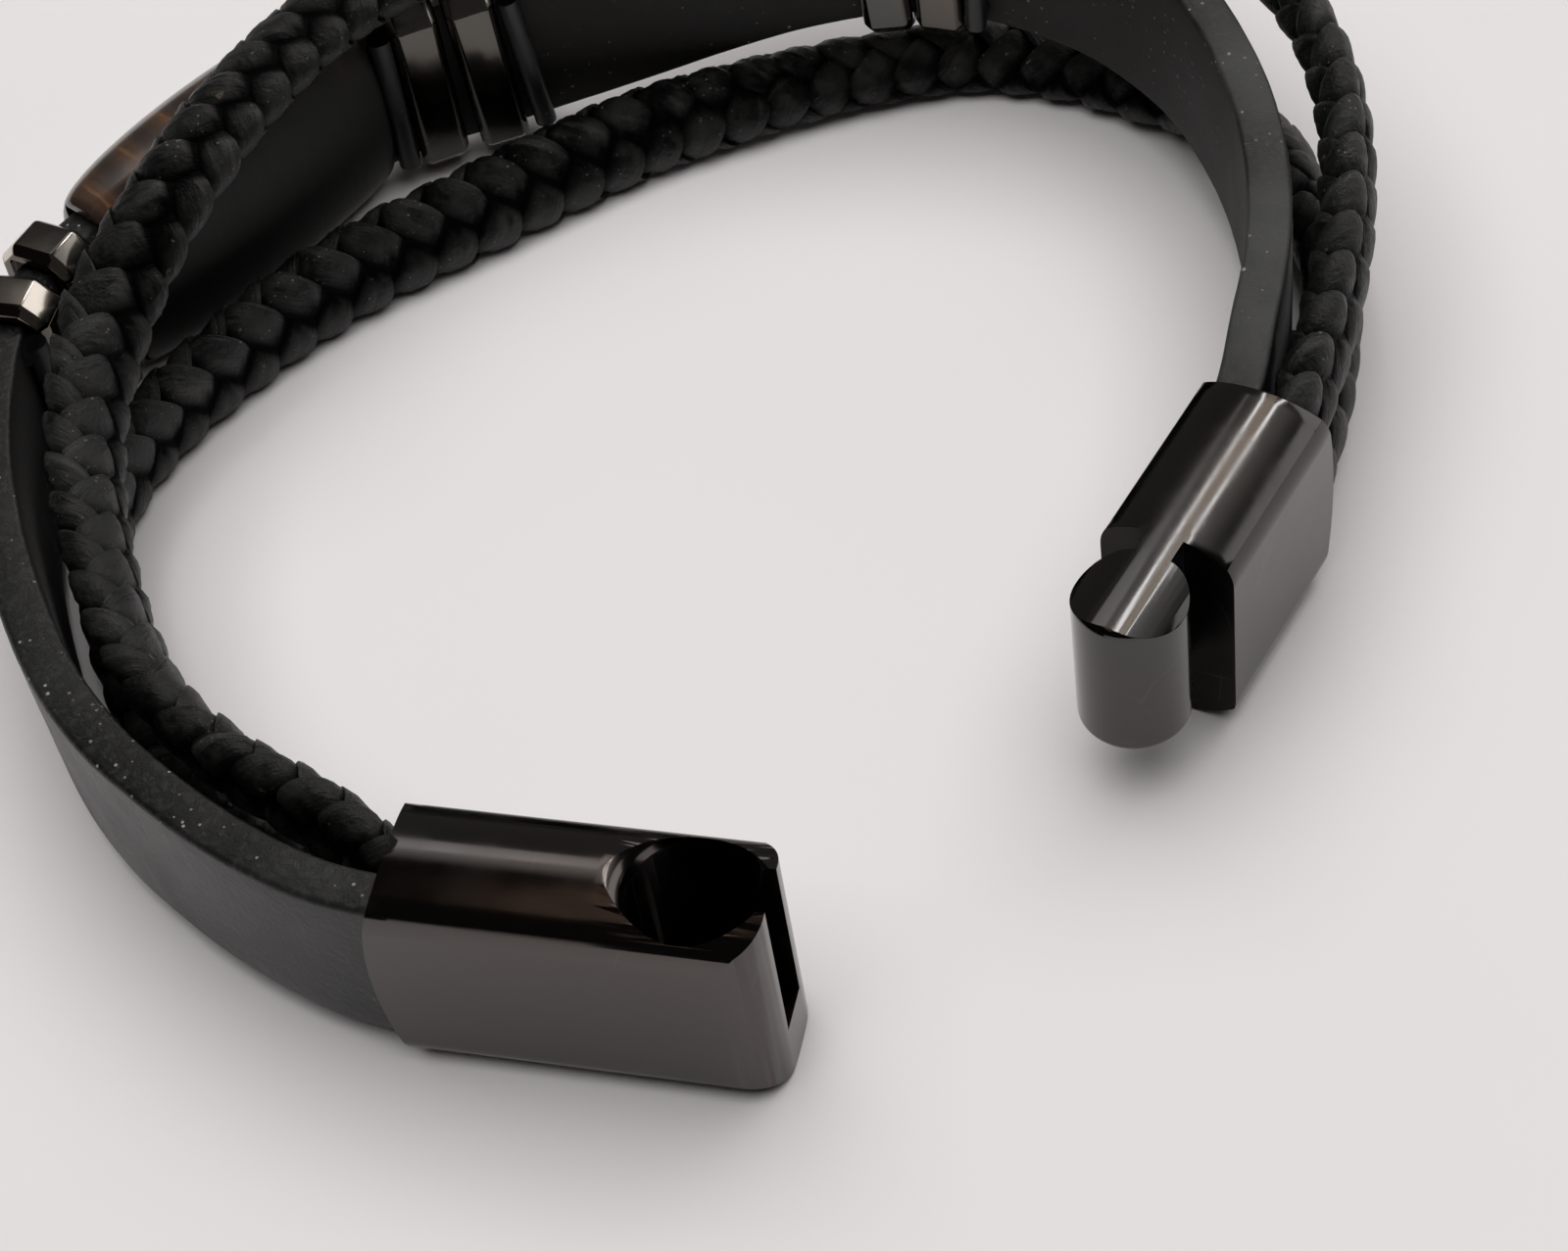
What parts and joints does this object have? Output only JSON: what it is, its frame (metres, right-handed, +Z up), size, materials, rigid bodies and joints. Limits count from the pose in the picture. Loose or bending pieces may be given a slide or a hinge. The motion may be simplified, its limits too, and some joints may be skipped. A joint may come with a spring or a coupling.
{
  "type": "bracelet",
  "caption": "Open leather bracelet on its edge: a flat strap and oval braids between the halves of a steel keyhole clasp, with a stone slider and steel and rubber rings on the strap",
  "frame": {"origin": "middle of the whole bracelet's bounding box, on the table that it lies on", "axes": "+Z up from the table and along the way the wrist goes in, +Y across the open loop away from the socket half, +X towards the post half"},
  "size_m": [0.0753, 0.0838, 0.0173],
  "materials": {
    "gunmetal": "mirror polished dark steel",
    "ring_steel": "polished dark steel",
    "strap_leather": "smooth black leather, satin",
    "braid_leather": "waxed black leather, braided",
    "tiger_eye": "polished opaque banded brown stone",
    "ring_rubber": "satin black rubber"
  },
  "bodies": {
    "root": {"clasp_socket": "gunmetal", "clasp_post": "gunmetal", "flat_strap": "strap_leather", "upper_braid": "braid_leather", "lower_braid": "braid_leather", "tiger_eye_slider": "tiger_eye", "steel_ring_a1": "ring_steel", "steel_ring_a2": "ring_steel", "steel_ring_b1": "ring_steel", "steel_ring_b2": "ring_steel", "steel_ring_c1": "ring_steel", "steel_ring_c2": "ring_steel", "o_ring_a": "ring_rubber", "o_ring_b": "ring_rubber", "o_ring_c": "ring_rubber", "o_ring_d": "ring_rubber"}
  },
  "joints": []
}
